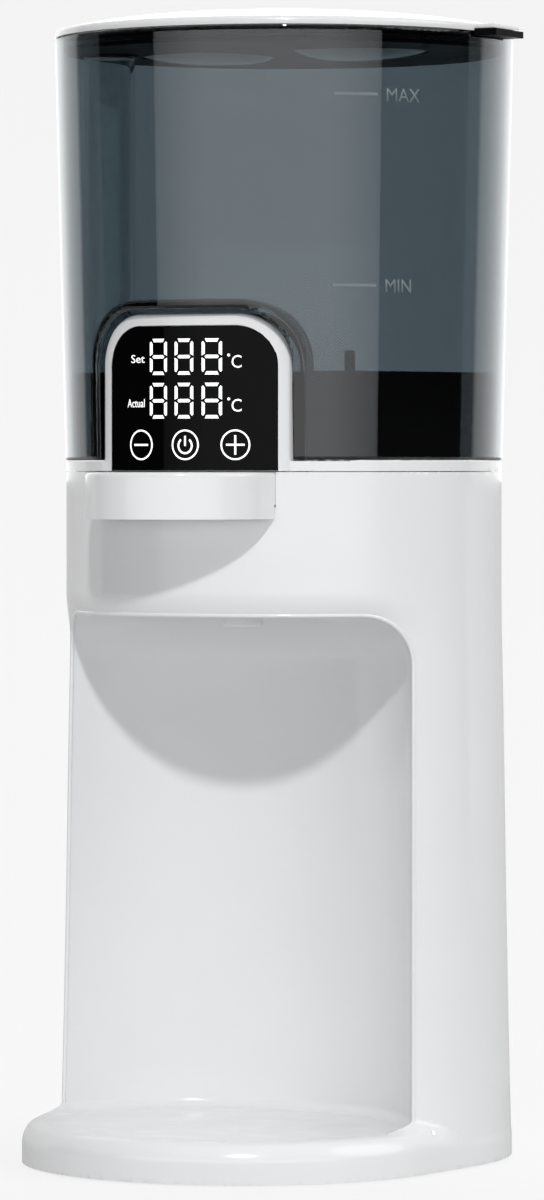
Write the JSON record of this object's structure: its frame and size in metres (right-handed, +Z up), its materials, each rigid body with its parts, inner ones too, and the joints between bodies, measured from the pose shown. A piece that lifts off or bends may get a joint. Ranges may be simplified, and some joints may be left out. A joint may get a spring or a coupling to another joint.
{
  "type": "instant water warmer",
  "caption": "Countertop water warmer: round tower with a tall bottle alcove, press lever, arched display and touch panel, and a lift-off smoke-tinted water tank with a lid.",
  "frame": {"origin": "centre of the footprint on the surface the feet stand on", "axes": "+Z up, -Y towards the front with the alcove and the display, +X to the right seen from the front"},
  "size_m": [0.1758, 0.1982, 0.4189],
  "materials": {
    "white_gloss": "smooth high gloss",
    "white_satin": "satin",
    "black_gloss": "high gloss",
    "black_matte": "fine matte",
    "display_black": "polished, opaque black backing",
    "smoke_clear": "clear smoke-grey tint, polished",
    "smoke_dark": "dark smoke tint, polished",
    "rubber_black": "matte",
    "silicone_clear": "translucent milky",
    "steel": "plain zinc",
    "heater_aluminium": "cast, satin",
    "board_green": "solder mask",
    "natural_plastic": "moulded, satin"
  },
  "bodies": {
    "housing": {"front_shell": "white_gloss", "rear_cover": "white_gloss", "base_plate": "white_satin", "foot_front_left": "rubber_black", "foot_front_right": "rubber_black", "foot_rear_left": "rubber_black", "foot_rear_right": "rubber_black", "base_screw_1": "steel", "base_screw_2": "steel", "base_screw_3": "steel", "base_screw_4": "steel", "rear_screw_1": "steel", "rear_screw_2": "steel", "top_deck": "white_gloss", "display_glass": "display_black", "display_board": "board_green", "digit_module": "black_matte", "lever_pin": "steel", "lever_spring": "steel", "lever_switch": "black_matte", "nozzle": "white_gloss", "nozzle_hose": "silicone_clear", "suction_hose": "silicone_clear", "pump_hose": "silicone_clear", "pump": "black_matte", "heater": "heater_aluminium", "heater_bracket": "steel", "bracket_screw_1": "steel", "bracket_screw_2": "steel", "control_board": "board_green", "board_screw_1": "steel", "board_screw_2": "steel", "deck_outlet": "natural_plastic", "outlet_seal": "silicone_clear", "power_inlet": "black_matte"},
    "lever": {"dispense_lever": "white_gloss"},
    "tank": {"tank_shell": "smoke_clear", "tank_floor": "black_gloss", "valve_spring": "steel", "vent_column": "smoke_clear", "vent_cap": "smoke_clear", "level_post": "black_gloss"},
    "valve": {"valve_stem": "natural_plastic"},
    "lid": {"lid_cover": "white_gloss", "lid_tray": "smoke_dark", "lid_gasket": "silicone_clear"}
  },
  "joints": [
    {"name": "tank_lift", "type": "slide", "parent": "housing", "child": "tank", "axis": [0, 0, 1], "range_m": [0, 0.065]},
    {"name": "lid_lift", "type": "slide", "parent": "tank", "child": "lid", "axis": [0, 0, 1], "range_m": [0, 0.04]},
    {"name": "valve_slide", "type": "slide", "parent": "tank", "child": "valve", "axis": [0, 0, 1], "range_m": [-0.0028, 0], "deforming": ["valve_spring"]},
    {"name": "lever_press", "type": "hinge", "parent": "housing", "child": "lever", "pos_m": [-0.0038, -0.04705, 0.245], "axis": [1, 0, 0], "range_deg": [0, 3], "stiffness_Nm_per_rad": 2, "springref_deg": -2.86, "deforming": ["lever_spring"]}
  ],
  "couplings": [
    {"joint": "valve_slide", "follows": "tank_lift", "ratio": -0.04}
  ]
}
